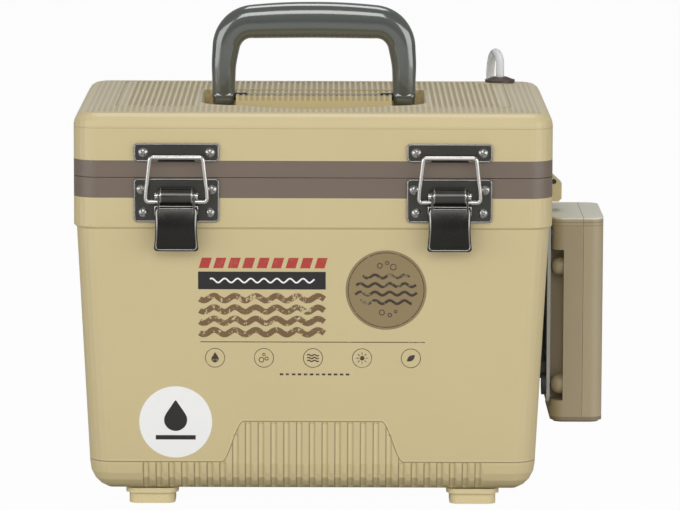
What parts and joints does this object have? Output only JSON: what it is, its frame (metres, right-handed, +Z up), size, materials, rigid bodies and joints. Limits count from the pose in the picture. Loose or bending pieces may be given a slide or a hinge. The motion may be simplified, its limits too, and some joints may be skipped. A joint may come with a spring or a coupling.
{
  "type": "aerated bait bucket",
  "caption": "Small insulated bait box with a latched hinged lid, fold-down carry handle and a clip-on battery air pump whose hose enters the lid.",
  "frame": {"origin": "on the floor under the middle of the box's rim", "axes": "+X to the pump's side (the box's right), +Y to the hinges at the back, +Z up"},
  "size_m": [0.3335, 0.2395, 0.3101],
  "materials": {
    "tan_plastic": "satin, fine moulded grain",
    "taupe_plastic": "satin",
    "liner_plastic": "smooth",
    "foam": "expanded foam, sealed in the walls",
    "foot_rubber": "matt",
    "gasket_rubber": "matt",
    "handle_plastic": "glossy dark grey",
    "latch_steel": "brushed, darkened stainless",
    "bright_steel": "bright",
    "hinge_plastic": "satin",
    "hanger_steel": "grey paint",
    "black_rubber": "matt",
    "pump_back": "satin",
    "pump_front": "satin",
    "pump_cap": "satin",
    "cell_jacket": "printed steel jacket",
    "motor_can": "bright",
    "pump_inner": "plain",
    "hose_silicone": "clear silicone",
    "stone_mineral": "porous"
  },
  "bodies": {
    "base": {"outer_shell": "tan_plastic", "body_foam": "foam", "inner_liner": "liner_plastic", "base_trim_band": "taupe_plastic", "feet": "foot_rubber", "base_hinge_leaves": "hinge_plastic", "hinge_pins": "bright_steel", "latch_plate_left": "latch_steel", "latch_plate_right": "latch_steel", "latch_pin_left": "bright_steel", "latch_pin_right": "bright_steel", "latch_screws": "bright_steel", "pump_lug": "tan_plastic", "pump_lug_pin": "black_rubber", "hanger_plate": "hanger_steel", "hanger_pads": "black_rubber", "hanger_studs": "black_rubber", "air_hose_pump_end": "hose_silicone", "air_hose_lid_end": "hose_silicone", "air_stone": "stone_mineral"},
    "lid": {"lid_shell": "tan_plastic", "lid_foam": "foam", "lid_trim_band": "taupe_plastic", "lid_inner_panel": "liner_plastic", "lid_gasket": "gasket_rubber", "lid_hinge_leaves": "hinge_plastic", "handle_pivot_pins": "bright_steel", "strike_left": "latch_steel", "strike_right": "latch_steel", "strike_screws": "bright_steel", "hose_grommet": "gasket_rubber"},
    "handle": {"carry_handle": "handle_plastic"},
    "lever_l": {"lever_left": "latch_steel"},
    "lever_r": {"lever_right": "latch_steel"},
    "bail_l": {"bail_left": "latch_steel"},
    "bail_r": {"bail_right": "latch_steel"},
    "pump": {"pump_back_shell": "pump_back", "pump_front_shell": "pump_front", "pump_top_cap": "pump_cap", "pump_foot_cap": "pump_back", "battery_cells": "cell_jacket", "pump_motor": "motor_can", "pump_air_head": "pump_inner", "pump_outlet": "pump_inner", "pump_case_screws": "bright_steel"},
    "switch_button": {"pump_switch_button": "black_rubber"}
  },
  "joints": [
    {"name": "lid_hinge", "type": "hinge", "parent": "base", "child": "lid", "pos_m": [0, 0.11, 0.2096], "axis": [-1, 0, 0], "range_deg": [0, 105], "deforming": ["air_hose_lid_end"]},
    {"name": "handle_fold", "type": "hinge", "parent": "lid", "child": "handle", "pos_m": [0, 0, 0.2492], "axis": [1, 0, 0], "range_deg": [-10, 90]},
    {"name": "lever_left_hinge", "type": "hinge", "parent": "base", "child": "lever_l", "pos_m": [-0.0846, -0.1108, 0.1987], "axis": [-1, 0, 0], "range_deg": [0, 140]},
    {"name": "bail_left_hinge", "type": "hinge", "parent": "lever_l", "child": "bail_l", "pos_m": [-0.0846, -0.1099, 0.195], "axis": [-1, 0, 0], "range_deg": [-154, 0]},
    {"name": "lever_right_hinge", "type": "hinge", "parent": "base", "child": "lever_r", "pos_m": [0.0846, -0.1108, 0.1987], "axis": [-1, 0, 0], "range_deg": [0, 140]},
    {"name": "bail_right_hinge", "type": "hinge", "parent": "lever_r", "child": "bail_r", "pos_m": [0.0846, -0.1099, 0.195], "axis": [-1, 0, 0], "range_deg": [-154, 0]},
    {"name": "pump_pull_off", "type": "slide", "parent": "base", "child": "pump", "axis": [1, 0, 0], "range_m": [0, 0.03], "deforming": ["air_hose_pump_end"]},
    {"name": "switch_press", "type": "slide", "parent": "pump", "child": "switch_button", "axis": [-1, 0, 0], "range_m": [0, 0.0015], "stiffness_N_per_m": 800}
  ],
  "couplings": [
    {"joint": "bail_left_hinge", "follows": "lever_left_hinge", "ratio": -1.1},
    {"joint": "bail_right_hinge", "follows": "lever_right_hinge", "ratio": -1.1}
  ]
}
